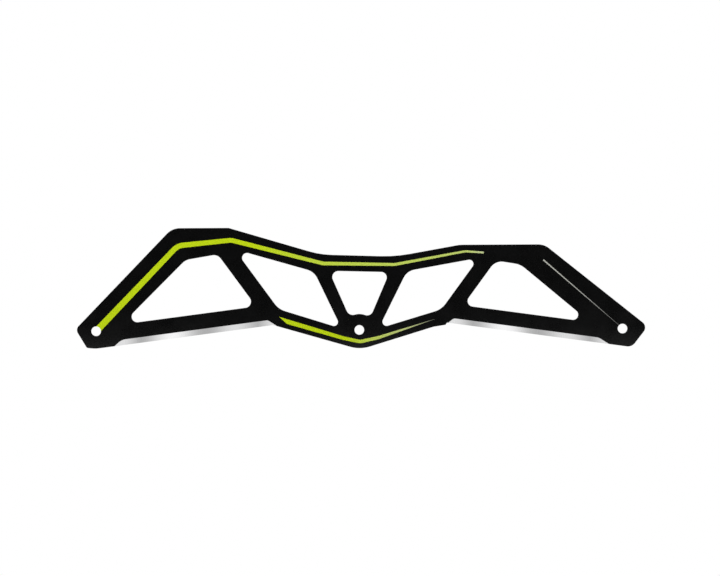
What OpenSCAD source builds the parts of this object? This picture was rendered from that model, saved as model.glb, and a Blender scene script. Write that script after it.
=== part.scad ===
// Inline skate frame for three large wheels: two truss side plates, two boot decks and two lower ties.
// X points to the toe, Y to the left plate, Z up. The origin is the centre of the middle axle.
// Side outlines are drawn as [x, z] points in the plane of the plates.

/* [Axles] */
// Distance from the rear axle to the front axle
wheelbase = 330.2; // [320:0.1:340]
// Largest wheel that turns in the bays
wheel_d = 125; // [110:1:127]
// Gap kept between that wheel and the boot decks
wheel_gap = 4; // [2:0.5:6]
// Width of a wheel over its bearings
hub_w = 24.2; // [22:0.1:26]
// Hole for the axle's threaded end, in the right plate
axle_thread_d = 6; // [5:0.1:7.5]
// Hole for the axle's smooth shank, in the left plate
axle_shank_d = 8.1; // [8:0.05:8.6]
// Flange of an axle seat, where the bearing leans on it
seat_flange_d = 13; // [12.5:0.1:16]
// Body of a threaded seat, sunk into the right plate
insert_d = 10; // [9:0.1:12]
// Depth of a threaded seat in the right plate
insert_depth = 2.4; // [1.5:0.1:3]
// Body of a plain seat in the left plate
bush_d = 11; // [10:0.1:12]
// Recess for the axle's head, in the left plate's outer face
axle_head_d = 14.6; // [13:0.1:18]
// Depth of the axle head's recess
axle_head_depth = 1; // [0.5:0.1:1.8]
// Radial gap around a seat's body
seat_gap = 0.04; // [0.02:0.01:0.1]

/* [Plates] */
// Thickness of each side plate
plate_t = 4; // [3.6:0.1:6]
// Clear width between the plates
bay_w = 28.4; // [27:0.1:32]
// Height of the bevel along each lower rail, at the rear and at the front
bevel_h = [3.45, 3.2]; // [2:0.05:5]
// Plate thickness left under the bevel
bevel_land = 1; // [0.5:0.1:2]
// Lug length that stays square before the bevel starts, at the rear and at the front
bevel_start = [16.8, 14.4]; // [10:0.1:25]
// Length over which the bevel deepens at the lug, at the rear and at the front
bevel_lug_ramp = [4.8, 7]; // [3:0.1:12]
// Length over which the bevel fades at the keel, at the rear and at the front
bevel_keel_ramp = [4.1, 3.1]; // [3:0.1:8]
// How far the bevel fades past the corner of rail and keel, at the rear and at the front
bevel_keel_over = [1.2, -0.8]; // [-1:0.1:3]
// Radius of the bevel's upper edge where its ramp at the lug ends, at the rear and at the front
bevel_turn_r = [9, 8]; // [1:0.5:12]
// Radius of the bevel's upper edge where its ramp at the keel starts
bevel_keel_r = 3; // [1:0.1:8]
// Radius where the bevel leaves the lug's lower edge, at the rear and at the front
bevel_leave_r = [1.5, 4]; // [1:0.1:8]

/* [Lugs] */
// Reach of the rear lug's tip behind the rear axle
rear_tip_reach = 13; // [11:0.1:18]
// Reach of the front lug's tip ahead of the front axle
front_tip_reach = 15.9; // [12:0.1:20]
// Height of the lug tips over the axle line
tip_z = 1.3; // [0:0.1:4]
// Depth of the lugs under the axle line
lug_drop = 11.65; // [10:0.05:15]
// Reach of the rear lug's lower corner behind the rear axle
rear_lug_heel = 5.2; // [3:0.1:8]
// Reach of the front lug's lower corner ahead of the front axle
front_lug_heel = 5.8; // [3:0.1:8]
// Corner radius of the rear tip
rear_tip_r = 3.8; // [1:0.1:6]
// Corner radius of the front tip
front_tip_r = 4.2; // [1:0.1:6]
// Lengths cut off the rear lug's lower corner, up its end and along its lower edge
rear_lug_cut = [1.4, 4.7]; // [0.5:0.1:6]
// Corner radii of this cut, at the lug's end and at its lower edge
rear_lug_r = [1.6, 22]; // [0.5:0.1:30]
// Radius of the front lug's lower corner
front_lug_r = 5.6; // [1:0.1:7]

/* [Boot seats] */
// Distance between the boot's two mounting bolts
boot_pitch = 195; // [185:0.5:200]
// Midpoint of those bolts ahead of the middle axle
boot_shift = -4; // [-10:0.5:4]
// Height of the rear seat over the axle line
rear_seat_z = 64.4; // [62:0.1:72]
// Height of the front seat over the axle line
front_seat_z = 53.1; // [51:0.1:60]
// Rear seat's length behind its bolt
rear_seat_back = 15.6; // [15:0.1:20]
// Rear seat's length ahead of its bolt
rear_seat_ahead = 19.8; // [19:0.1:26]
// Front seat's length behind its bolt
front_seat_back = 30.2; // [28:0.1:34]
// Front seat's length ahead of its bolt
front_seat_ahead = 22.8; // [22:0.1:28]
// Radius of the rear seat's back corner
rear_shoulder_r = 11.4; // [3:0.1:14]
// Radius of the rear seat's front corner
rear_seat_end_r = 0.6; // [0.2:0.1:6]
// Radius where the front seat starts
front_seat_start_r = 18; // [2:0.5:30]
// Radius of the front seat's front corner
front_shoulder_r = 11.1; // [3:0.1:14]

/* [Dip and keel] */
// Rear end of the dip between the seats, behind the middle axle
dip_back = 24.3; // [20:0.1:30]
// Front end of the dip, ahead of the middle axle
dip_ahead = 22.7; // [18:0.1:28]
// Height of the dip's rear end
dip_back_z = 47.4; // [45:0.1:52]
// Height of the dip's front end
dip_ahead_z = 45.9; // [44:0.1:50]
// Radius at the dip's rear end
dip_back_r = 56; // [20:1:80]
// Radius at the dip's front end
dip_ahead_r = 90; // [20:1:120]
// Depth of the keel's point under the middle axle, before rounding
keel_drop = 12.4; // [11:0.1:16]
// Keel's point ahead of the middle axle
keel_lead = 0.4; // [-1:0.1:1]
// Radius of the keel's point
keel_r = 21.8; // [5:0.1:30]
// Rear end of the keel behind the middle axle
keel_back = 54.1; // [48:0.1:60]
// Front end of the keel ahead of the middle axle
keel_ahead = 55; // [48:0.1:60]
// Height of the keel's rear end
keel_back_z = 3.3; // [1:0.1:6]
// Height of the keel's front end
keel_ahead_z = 4.3; // [1:0.1:6]
// Radius where the keel meets a lower rail
keel_corner_r = 1.2; // [0.5:0.1:6]
// Step of the keel's front end, back and down from its corner with the rail
keel_step = [0.9, 1.4]; // [0.5:0.1:3]
// Length of the keel's edge that this step lowers
keel_step_run = 8.8; // [5:0.1:15]
// Corner radius of this step
keel_step_r = 0.4; // [0.2:0.1:1]

/* [Bars] */
// Rear nose bar's width at the lug
rear_nose_foot_w = 18.5; // [16:0.1:21]
// Rear nose bar's width at the seat
rear_nose_head_w = 20; // [16:0.1:22]
// Front nose bar's width at the seat
front_nose_head_w = 19.3; // [16:0.1:22]
// Front nose bar's width at the lug
front_nose_foot_w = 21.1; // [17:0.1:23]
// Rear seat bar's depth at its back
rear_seat_back_w = 21.4; // [20.5:0.1:24]
// Rear seat bar's depth at its front
rear_seat_front_w = 15.4; // [15:0.1:18]
// Front seat bar's depth at its back
front_seat_back_w = 6.4; // [6:0.1:9]
// Front seat bar's depth at its front
front_seat_front_w = 15; // [13:0.1:18]
// Upper rail's width ahead of the rear seat
drop_rail_head_w = 11.9; // [10:0.1:13]
// Upper rail's width where it meets the dip
drop_rail_foot_w = 11.4; // [10:0.1:13]
// Upper rail's width in the dip, at its rear and at its front end
dip_rail_w = [10.1, 9.85]; // [8:0.05:11]
// Upper rail's width ahead of the dip
rise_rail_w = 10.3; // [9:0.1:12]
// Rear lower rail's width
rear_rail_w = 13.05; // [12.4:0.05:15]
// Front lower rail's width
front_rail_w = 12.1; // [12:0.05:15]
// Keel's width at its point
keel_w = 9.3; // [8:0.1:11]
// Keel's width at its rear end
keel_back_w = 10.6; // [8:0.1:12]
// Keel's width at its front end
keel_ahead_w = 9; // [8:0.1:12]
// Wall of metal around the middle axle, as a radius
middle_boss_r = 10; // [8.5:0.1:11]

/* [Struts] */
// Rear strut's width
rear_strut_w = 10.45; // [7:0.05:13]
// Front strut's width
front_strut_w = 9.6; // [7:0.1:13]
// Rear strut's head, back from the rear seat's front corner
rear_strut_head = 12.6; // [9:0.1:15]
// Rear strut's foot, ahead of the keel's rear end
rear_strut_foot = 4.4; // [2:0.1:7]
// Front strut's head, ahead of the front seat's start
front_strut_head = 23.9; // [20:0.1:27]
// Front strut's foot, behind the keel's front end
front_strut_foot = 3.6; // [1:0.1:6]
// Middle struts' width at the axle
middle_strut_foot_w = 7.4; // [5:0.1:9]
// Width of the middle struts' rear one at its head
back_strut_head_w = 9.1; // [6:0.1:12]
// Width of the middle struts' front one at its head
ahead_strut_head_w = 10.3; // [6:0.1:12]
// Head of the rear middle strut, behind the dip's rear end
back_strut_head = 4; // [0:0.1:8]
// Head of the front middle strut, ahead of the dip's front end
ahead_strut_head = 6.2; // [2:0.1:10]
// Foot of the rear middle strut, behind the middle axle
back_strut_foot = 6.6; // [5:0.1:8]
// Foot of the front middle strut, ahead of the middle axle
ahead_strut_foot = 7.6; // [6:0.1:9]

/* [Window corners] */
// Rear window's radii: lug, seat's back, strut's head, strut's foot
rear_window_r = [3.5, 9, 5.4, 3.9]; // [1:0.1:14]
// Second window's radii: strut's head, dip, middle axle, keel's end
drop_window_r = [3.1, 10.2, 2.5, 12.5]; // [1:0.1:14]
// Middle window's radii: rear top, front top, front foot, rear foot
middle_window_r = [3.8, 3.5, 3.9, 4.2]; // [1:0.1:5]
// Fourth window's radii: dip, strut's head, keel's end, middle axle
rise_window_r = [9.5, 2.6, 12.8, 2.6]; // [1:0.1:14]
// Front window's radii: strut's head, seat's front, lug, strut's foot
front_window_r = [8.3, 13.2, 3.2, 3.5]; // [1:0.1:14]

/* [Boot decks] */
// Depth of the rear deck under its seat
rear_deck_t = 15; // [12:0.1:16]
// Depth of the front deck under its seat
front_deck_t = 8; // [7.6:0.1:8.4]
// Run of the rear deck behind its seat, under the nose
rear_deck_run = 5; // [3:0.1:7]
// Gap from the rear deck's front end to the seat's corner
rear_deck_gap = 0.3; // [0:0.1:0.5]
// Run of the front deck ahead of its seat, under the nose
front_deck_run = 2; // [0:0.1:4]
// Width of the slots for the boot's bolts
slot_w = 6.5; // [5.5:0.1:8.5]
// Length of those slots across the frame
slot_l = 15; // [10:0.5:16]
// Width of the recess for a boot bolt's head, under the deck
bolt_recess_w = 11; // [10:0.1:14]
// Deck thickness over that recess
slot_floor = 4.5; // [3.5:0.1:6]
// Height of the pads on the right plate that the decks and ties meet
pad_t = 3; // [2.5:0.1:5]

/* [Ties] */
// Outer diameter of a tie tube
tie_d = 8; // [7:0.1:9]
// Place of a tie, from the middle axle towards an outer one, as a share of that distance
tie_share = 0.5; // [0.44:0.01:0.56]

/* [Screws and dowels] */
// Diameter of the cross screws
screw_d = 4; // [3:0.1:4.5]
// Diameter of their countersunk heads
screw_head_d = 7.4; // [6:0.1:8]
// Depth of the countersunk heads
screw_head_h = 2; // [1.6:0.1:2.6]
// Hexagon key across its flats
screw_key = 2.5; // [2:0.1:3]
// Depth of the hexagon socket
screw_key_depth = 1.6; // [1:0.1:2]
// Length of thread in the right plate
thread_reach = 5.6; // [3:0.1:6]
// Space left under a screw's end
thread_spare = 0.4; // [0.2:0.1:0.8]
// Radial gap around a screw's thread
thread_gap = 0.05; // [0.02:0.01:0.1]
// Radial gap around a screw's shank and head
screw_gap = 0.15; // [0.1:0.05:0.3]
// Rear deck's screws, behind and ahead of its boot bolt
rear_screw_out = [11, 10.5]; // [9.5:0.1:12]
// Front deck's screws, behind and ahead of its boot bolt
front_screw_out = [11, 14.5]; // [10:0.1:16]
// Depth of the deck screws under the seats
deck_screw_z = 4.4; // [4.2:0.1:5]
// Distance of a dowel outwards from its screw
dowel_out = 5; // [4.6:0.1:6]
// Diameter of the dowels
dowel_d = 3; // [2:0.1:3.5]
// Length of the dowels
dowel_l = 8; // [6:0.1:10]
// Part of a dowel that sits in a plate
dowel_in_plate = 2.6; // [2:0.1:3]
// Gap around and behind a dowel
dowel_gap = 0.03; // [0.02:0.01:0.1]
// Chamfer on a dowel's ends
dowel_chamfer = 0.3; // [0.1:0.05:0.6]

/* [Stripes] */
// Thickness of the stripe films
film_t = 0.1; // [0.05:0.05:0.3]
// Radius of the upper stripe's bends along its middle line
stripe_bend_r = 9; // [3:0.5:20]
// Radius of the keel stripe's bends along its middle line
keel_stripe_bend_r = 8; // [3:0.5:20]
// Upper stripe's width at the rear axle and at its front end
upper_stripe_w = [4.05, 1.17]; // [0.5:0.05:5]
// Depth of the upper stripe's bends under the five upper corners
upper_stripe_z = [11.05, 7.7, 5.6, 5, 4.1]; // [3:0.05:12]
// Shift of those bends ahead of the corners
upper_stripe_x = [3.4, 1.6, 1.7, -0.3, 3.4]; // [-2:0.1:5]
// Length of the upper stripe's last leg
upper_stripe_end = 11.6; // [5:0.1:20]
// Fall of the last leg, in degrees
upper_stripe_fall = 4.3; // [0:0.1:8]
// Keel stripe's middle line over the keel's edge behind the bend, at the rail and at the keel's point
rear_keel_stripe_in = [4.6, 4]; // [3:0.05:6]
// Keel stripe's middle line over the keel's edge ahead of the bend, at the rail and at the keel's point
front_keel_stripe_in = [4.5, 3.6]; // [3:0.05:6]
// Where the keel stripe's lines ease towards its bend, behind and ahead of the middle axle
keel_stripe_ease = [10, 12]; // [6:0.1:16]
// Place of that bend from the crossing of the two lines, ahead and up
keel_stripe_lift = [-0.5, 1]; // [-1:0.1:2]
// Keel stripe's width at its rear end, at these three bends, where its taper quickens and at its front end
keel_stripe_w = [2.85, 2.2, 2.15, 1.95, 1.5, 0.1]; // [0.05:0.05:3.5]
// Place where the keel stripe's taper quickens, ahead of the middle axle
keel_stripe_taper = 20; // [12:0.1:30]
// Keel stripe's ends, behind and ahead of the middle axle
keel_stripe_ends = [47.8, 47.1]; // [40:0.1:50]
// Slant of the keel stripe's rear end along the keel
keel_stripe_slant = 6; // [0:0.1:8]
// Toe stripe's width at the seat and at the front axle
toe_stripe_w = [0.75, 0.2]; // [0.1:0.05:2]
// Toe stripe's head, under and behind the front shoulder
toe_stripe_head = [0.7, 9.65]; // [0:0.05:12]
// Height of the toe stripe's middle line over the front axle
toe_stripe_foot = 0.25; // [-1:0.05:1]

/* [Hidden] */

// Roundness of true circles, and the turn of one step along a drawn arc, in degrees
$fn = 64;
arc_step = 5;
// Largest share of an edge that the rounding of one of its corners may take
corner_share = 0.49;
// How far a cutting solid runs past the face that it cuts, and how far a bevel's does
over = 1;
bevel_past = 2;
// How far under the rail's lower edge a bevel's upper edge starts at the lug
bevel_dip = 0.5;

// Places across the frame
inner_y = bay_w / 2;
outer_y = inner_y + plate_t;
pad_y = -inner_y + pad_t;
seat_h = (bay_w - hub_w) / 2;

// Places of the axles and of the boot's bolts
rear_axle_x = -wheelbase / 2;
front_axle_x = wheelbase / 2;
rear_bolt_x = boot_shift - boot_pitch / 2;
front_bolt_x = boot_shift + boot_pitch / 2;

// Sharp corners of the side outline, from the rear tip over the top to the front and back along the keel
rear_tip = [rear_axle_x - rear_tip_reach, tip_z];
rear_shoulder = [rear_bolt_x - rear_seat_back, rear_seat_z];
rear_seat_end = [rear_bolt_x + rear_seat_ahead, rear_seat_z];
dip_rear = [-dip_back, dip_back_z];
dip_front = [dip_ahead, dip_ahead_z];
front_seat_start = [front_bolt_x - front_seat_back, front_seat_z];
front_shoulder = [front_bolt_x + front_seat_ahead, front_seat_z];
front_tip = [front_axle_x + front_tip_reach, tip_z];
front_lug = [front_axle_x + front_lug_heel, -lug_drop];
keel_front = [keel_ahead, keel_ahead_z];
keel_point = [keel_lead, -keel_drop];
keel_rear = [-keel_back, keel_back_z];
rear_lug = [rear_axle_x - rear_lug_heel, -lug_drop];
keel_step_end = keel_front + (keel_point - keel_front) * keel_step_run / norm(keel_point - keel_front);

outline_corners = [
    [rear_tip, rear_tip_r],
    [rear_shoulder, rear_shoulder_r],
    [rear_seat_end, rear_seat_end_r],
    [dip_rear, dip_back_r],
    [dip_front, dip_ahead_r],
    [front_seat_start, front_seat_start_r],
    [front_shoulder, front_shoulder_r],
    [front_tip, front_tip_r],
    [front_lug, front_lug_r],
    [keel_front, keel_step_r],
    [keel_front - keel_step, keel_step_r],
    [keel_step_end, keel_corner_r],
    [keel_point, keel_r],
    [keel_rear, keel_corner_r],
    [rear_lug + unit(keel_rear - rear_lug) * rear_lug_cut[1], rear_lug_r[1]],
    [rear_lug + unit(rear_tip - rear_lug) * rear_lug_cut[0], rear_lug_r[0]]
];

// Plane geometry
function unit(v) = v / norm(v);
function right_of(v) = [v[1], -v[0]];
function heading(v) = atan2(v[1], v[0]);
function turn_between(from, to) = let (t = to - from) t - 360 * round(t / 360);

// A line through p and q, shifted to the right by wp at p and by wq at q, as a point and a direction
function rail(p, q, wp, wq) =
    let (
        side = right_of(unit(q - p)),
        a = p + side * wp,
        b = q + side * wq
    )
    [a, unit(b - a)];

// An upright line at x
function upright(x) = [[x, 0], [0, 1]];

// The crossing of two such lines
function crossing(e, f) = e[0] + e[1] * cross(f[0] - e[0], f[1]) / cross(e[1], f[1]);

// Points of an arc about c, the short way from one angle to another
function arc(c, r, from, to) =
    let (
        turn = turn_between(from, to),
        steps = max(1, ceil(abs(turn) / arc_step))
    )
    [for (k = [0 : steps]) c + r * [cos(from + turn * k / steps), sin(from + turn * k / steps)]];

// A corner p between a and b, rounded by r as far as its edges allow, unless it is almost straight
function rounded(a, p, b, r) =
    let (
        u = unit(a - p),
        v = unit(b - p),
        half = acos(u * v) / 2,
        room = corner_share * min(norm(a - p), norm(b - p)) * tan(half),
        radius = min(r, room),
        reach = radius / tan(half),
        c = p + unit(u + v) * radius / sin(half)
    )
    half > 89 ? [p] : arc(c, radius, heading(p + u * reach - c), heading(p + v * reach - c));

// A closed outline from [point, radius] corners
function soft_outline(corners) =
    let (n = len(corners))
    [
        for (i = [0 : n - 1])
        each rounded(
            corners[(i + n - 1) % n][0], corners[i][0], corners[(i + 1) % n][0], corners[i][1]
        )
    ];

// A closed outline from lines, rounded where each line meets the one before it
function line_outline(lines, radii) =
    let (n = len(lines))
    soft_outline([for (i = [0 : n - 1]) [crossing(lines[(i + n - 1) % n], lines[i]), radii[i]]]);

// Inner edges of the bars, each seen with the metal on its left
rear_nose = rail(rear_tip, rear_shoulder, rear_nose_foot_w, rear_nose_head_w);
rear_seat = rail(rear_shoulder, rear_seat_end, rear_seat_back_w, rear_seat_front_w);
drop_rail = rail(rear_seat_end, dip_rear, drop_rail_head_w, drop_rail_foot_w);
dip_rail = rail(dip_rear, dip_front, dip_rail_w[0], dip_rail_w[1]);
rise_rail = rail(dip_front, front_seat_start, rise_rail_w, rise_rail_w);
front_seat = rail(front_seat_start, front_shoulder, front_seat_back_w, front_seat_front_w);
front_nose = rail(front_shoulder, front_tip, front_nose_head_w, front_nose_foot_w);
front_rail = rail(front_lug, keel_front, front_rail_w, front_rail_w);
front_keel = rail(keel_front, keel_point, keel_ahead_w, keel_w);
rear_keel = rail(keel_point, keel_rear, keel_w, keel_back_w);
rear_rail = rail(keel_rear, rear_lug, rear_rail_w, rear_rail_w);

// Middle lines of the struts, as head and foot, and their widths there
rear_strut = [rear_seat_end - [rear_strut_head, 0], keel_rear + [rear_strut_foot, 0]];
back_strut = [dip_rear - [back_strut_head, 0], [-back_strut_foot, 0]];
ahead_strut = [dip_front + [ahead_strut_head, 0], [ahead_strut_foot, 0]];
front_strut = [front_seat_start + [front_strut_head, 0], keel_front - [front_strut_foot, 0]];

// The edge of a strut that faces the toe, run upwards, and the one that faces the heel, run downwards
function toe_edge(s, head_w, foot_w) = rail(s[1], s[0], foot_w / 2, head_w / 2);
function heel_edge(s, head_w, foot_w) = rail(s[0], s[1], head_w / 2, foot_w / 2);

back_toe_edge = toe_edge(back_strut, back_strut_head_w, middle_strut_foot_w);
ahead_heel_edge = heel_edge(ahead_strut, ahead_strut_head_w, middle_strut_foot_w);

rear_window = line_outline(
    [rear_nose, rear_seat, heel_edge(rear_strut, rear_strut_w, rear_strut_w), rear_rail],
    rear_window_r
);
drop_window = line_outline(
    [
        drop_rail, heel_edge(back_strut, back_strut_head_w, middle_strut_foot_w),
        rear_keel, toe_edge(rear_strut, rear_strut_w, rear_strut_w)
    ],
    drop_window_r
);
rise_window = line_outline(
    [
        rise_rail, heel_edge(front_strut, front_strut_w, front_strut_w),
        front_keel, toe_edge(ahead_strut, ahead_strut_head_w, middle_strut_foot_w)
    ],
    rise_window_r
);
front_window = line_outline(
    [front_seat, front_nose, front_rail, toe_edge(front_strut, front_strut_w, front_strut_w)],
    front_window_r
);

// Centre of a fillet of radius r between a line, its window on the right, and the middle axle's boss
function boss_fillet(line, r, way) =
    let (
        start = line[0] + right_of(line[1]) * r,
        along = start * line[1],
        spread = sqrt(along * along - start * start + pow(middle_boss_r + r, 2))
    )
    start + line[1] * (-along + way * spread);

// The middle window stands on the boss around the middle axle
ahead_fillet_r = middle_window_r[2];
back_fillet_r = middle_window_r[3];
ahead_fillet = boss_fillet(ahead_heel_edge, ahead_fillet_r, -1);
back_fillet = boss_fillet(back_toe_edge, back_fillet_r, 1);
ahead_side = -right_of(ahead_heel_edge[1]);
back_side = -right_of(back_toe_edge[1]);
ahead_foot = ahead_fillet + ahead_side * ahead_fillet_r;
back_foot = back_fillet + back_side * back_fillet_r;
ahead_top = crossing(dip_rail, ahead_heel_edge);
back_top = crossing(back_toe_edge, dip_rail);
middle_window = concat(
    rounded(back_foot, back_top, ahead_top, middle_window_r[0]),
    rounded(back_top, ahead_top, ahead_foot, middle_window_r[1]),
    arc(ahead_fillet, ahead_fillet_r, heading(ahead_side), heading(-ahead_fillet)),
    arc([0, 0], middle_boss_r, heading(ahead_fillet), heading(back_fillet)),
    arc(back_fillet, back_fillet_r, heading(-back_fillet), heading(back_side))
);

outline = soft_outline(outline_corners);
windows = [rear_window, drop_window, middle_window, rise_window, front_window];

// Ends of the rear deck
rear_deck_from = rear_shoulder[0] - rear_deck_run;
rear_deck_to = rear_seat_end[0] - rear_deck_gap;

// Places of the ties: midway up the flat part of a lower rail
function tie_point(lug, keel, axle_x, rail_w, bevel) =
    let (
        way = unit(keel - lug),
        x = axle_x * tie_share,
        edge_z = lug[1] + way[1] * (x - lug[0]) / way[0]
    )
    [x, edge_z + (bevel + rail_w) / 2 / abs(way[0])];

rear_tie = tie_point(rear_lug, keel_rear, rear_axle_x, rear_rail_w, bevel_h[0]);
front_tie = tie_point(front_lug, keel_front, front_axle_x, front_rail_w, bevel_h[1]);

// Places of the cross screws and dowels, behind and ahead of each boot bolt
function deck_points(bolt_x, seat_z, out) =
    let (z = seat_z - deck_screw_z)
    [[bolt_x - out[0], z], [bolt_x + out[1], z]];
rear_screws = deck_points(rear_bolt_x, rear_seat_z, rear_screw_out);
front_screws = deck_points(front_bolt_x, front_seat_z, front_screw_out);
rear_dowels = deck_points(rear_bolt_x, rear_seat_z, rear_screw_out + [dowel_out, dowel_out]);
front_dowels = deck_points(front_bolt_x, front_seat_z, front_screw_out + [dowel_out, dowel_out]);
all_screws = concat(rear_screws, front_screws, [rear_tie, front_tie]);
all_dowels = concat(rear_dowels, front_dowels);

// Sizes of their holes, and their lengths
shank_hole_d = screw_d + 2 * screw_gap;
head_hole_d = screw_head_d + 2 * screw_gap;
thread_hole_d = screw_d + 2 * thread_gap;
dowel_hole_d = dowel_d + 2 * dowel_gap;
thread_depth = thread_reach + thread_spare;
screw_l = outer_y - pad_y + thread_reach;
dowel_in_deck = dowel_l - dowel_in_plate;

// Routes of the stripes
upper_corners = [rear_shoulder, rear_seat_end, dip_rear, dip_front, front_seat_start];
upper_last = len(upper_corners) - 1;
upper_bends = [for (i = [0 : upper_last]) upper_corners[i] + [upper_stripe_x[i], -upper_stripe_z[i]]];
upper_end = upper_bends[upper_last] + upper_stripe_end * [cos(upper_stripe_fall), -sin(upper_stripe_fall)];
upper_route = concat([[rear_axle_x, 0]], upper_bends, [upper_end]);
rear_keel_line = rail(keel_point, keel_rear, rear_keel_stripe_in[1], rear_keel_stripe_in[0]);
front_keel_line = rail(keel_front, keel_point, front_keel_stripe_in[0], front_keel_stripe_in[1]);
keel_route = [
    crossing(rear_keel_line, upright(-keel_stripe_ends[0])),
    crossing(rear_keel_line, upright(-keel_stripe_ease[0])),
    crossing(rear_keel_line, front_keel_line) + keel_stripe_lift,
    crossing(front_keel_line, upright(keel_stripe_ease[1])),
    crossing(front_keel_line, upright(keel_stripe_taper)),
    crossing(front_keel_line, upright(keel_stripe_ends[1]))
];
toe_route = [front_shoulder - toe_stripe_head, [front_axle_x, toe_stripe_foot]];

// Length of a route up to its point i
function run_length(route, i) = i == 0 ? 0 : run_length(route, i - 1) + norm(route[i] - route[i - 1]);

// Widths along a route that change evenly from one end to the other
function even_widths(route, ends) =
    let (total = run_length(route, len(route) - 1))
    [for (i = [0 : len(route) - 1]) ends[0] + (ends[1] - ends[0]) * run_length(route, i) / total];

// Sideways step of a ribbon at point i of its route, for a width of 2
function mitre(route, i) =
    let (
        last = len(route) - 1,
        before = right_of(unit(route[max(i, 1)] - route[max(i, 1) - 1])),
        after = right_of(unit(route[min(i, last - 1) + 1] - route[min(i, last - 1)]))
    )
    (before + after) / (1 + before * after);

// The right edge of a ribbon along a route, or its left one for a side of -1, with round bends
function ribbon_edge(route, widths, bend_r, side, skew) =
    let (
        last = len(route) - 1,
        points = [for (i = [0 : last]) route[i] + side * mitre(route, i) * widths[i] / 2]
    )
    concat(
        [points[0] + side * skew],
        [
            for (i = [1 : 1 : last - 1])
            let (left_turn = sign(cross(route[i] - route[i - 1], route[i + 1] - route[i])))
            each rounded(
                points[i - 1], points[i], points[i + 1],
                max(bend_r + side * left_turn * widths[i] / 2, bend_r / 4)
            )
        ],
        [points[last]]
    );

function reversed(list) = [for (i = [len(list) - 1 : -1 : 0]) list[i]];

// A ribbon along a route, its first end cut at a slant
function ribbon(route, widths, bend_r, slant = 0) =
    let (skew = unit(route[1] - route[0]) * slant / 2)
    concat(
        ribbon_edge(route, widths, bend_r, 1, skew),
        reversed(ribbon_edge(route, widths, bend_r, -1, skew))
    );

// A slab of a side outline between two places across the frame
module slab(y_from, y_to) {
    translate([0, y_to, 0])
        rotate([90, 0, 0])
            linear_extrude(y_to - y_from)
                children();
}

// A round bar across the frame at the side point p
module cross_bar(p, d, y_from, y_to) {
    translate([p[0], y_from, p[1]])
        rotate([-90, 0, 0])
            cylinder(h = y_to - y_from, d = d);
}

// A cone across the frame at the side point p, from one diameter to another
module cross_cone(p, d_from, d_to, y_from, y_to) {
    translate([p[0], y_from, p[1]])
        rotate([-90, 0, 0])
            cylinder(h = y_to - y_from, d1 = d_from, d2 = d_to);
}

// Upper edge of a bevel on the plate's face, along a rail of the given length from its lug.
// The end is 0 at the rear and 1 at the front.
function bevel_edge(length, end) =
    let (
        height = bevel_h[end],
        lug_end = [0, -bevel_dip],
        lug_foot = [bevel_start[end], 0],
        lug_head = lug_foot + [bevel_lug_ramp[end], height],
        keel_foot = [length + bevel_keel_over[end], 0],
        keel_head = keel_foot + [-bevel_keel_ramp[end], height],
        past_keel = keel_foot + (keel_foot - keel_head) * bevel_past / height
    )
    concat(
        [lug_end],
        rounded(lug_end, lug_foot, lug_head, bevel_leave_r[end]),
        rounded(lug_foot, lug_head, keel_head, bevel_turn_r[end]),
        rounded(lug_head, keel_head, keel_foot, bevel_keel_r),
        [past_keel]
    );

// The space that a bevel takes from such a rail, along +X, with the plate's outer face at y = 0
module bevel_space(length, end) {
    slope = bevel_h[end] / (plate_t - bevel_land);
    edge = bevel_edge(length, end);
    last = len(edge) - 1;
    // Three points at each step: over the edge, below the rail, and inside the plate
    points = [
        for (p = edge)
        each [
            [p[0], -bevel_past, p[1] + bevel_past * slope],
            [p[0], -bevel_past, -bevel_past],
            [p[0], (p[1] + bevel_past) / slope, -bevel_past]
        ]
    ];
    sides = [
        for (i = [0 : last - 1], k = [0 : 2])
        let (m = (k + 1) % 3)
        [3 * i + k, 3 * i + 3 + k, 3 * i + 3 + m, 3 * i + m]
    ];
    polyhedron(points, concat([[0, 1, 2]], sides, [[3 * last + 2, 3 * last + 1, 3 * last]]));
}

// Both bevels of the right plate
module bevels() {
    rear_way = keel_rear - rear_lug;
    front_way = keel_front - front_lug;
    translate([rear_lug[0], -outer_y, rear_lug[1]])
        rotate([0, -heading(rear_way), 0])
            bevel_space(norm(rear_way), 0);
    translate([front_lug[0], -outer_y, front_lug[1]])
        mirror([1, 0, 0])
            rotate([0, -heading([-front_way[0], front_way[1]]), 0])
                bevel_space(norm(front_way), 1);
}

module truss(y_from, y_to) {
    slab(y_from, y_to)
        difference() {
            polygon(outline);
            for (w = windows) polygon(w);
        }
}

// The space of a turning wheel
module wheel_space(axle_x) {
    cross_bar([axle_x, 0], wheel_d + 2 * wheel_gap, -outer_y, outer_y);
}

module rear_deck_block(y_from, y_to) {
    difference() {
        slab(y_from, y_to)
            intersection() {
                polygon(outline);
                translate([rear_deck_from, rear_seat_z - rear_deck_t])
                    square([rear_deck_to - rear_deck_from, rear_deck_t + over]);
            }
        wheel_space(rear_axle_x);
    }
}

module front_deck_block(y_from, y_to) {
    difference() {
        slab(y_from, y_to)
            intersection() {
                polygon(outline);
                translate([front_seat_start[0], front_seat_z - front_deck_t])
                    square([front_shoulder[0] - front_seat_start[0] + front_deck_run, front_deck_t + over]);
            }
        wheel_space(front_axle_x);
    }
}

// An upright slot across the frame, with round ends
module slot_space(x, width, length, z_from, z_to) {
    for (side = [-1, 1])
        translate([x, side * (length - width) / 2, z_from])
            cylinder(h = z_to - z_from, d = width);
    translate([x - width / 2, -(length - width) / 2, z_from])
        cube([width, length - width, z_to - z_from]);
}

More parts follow.
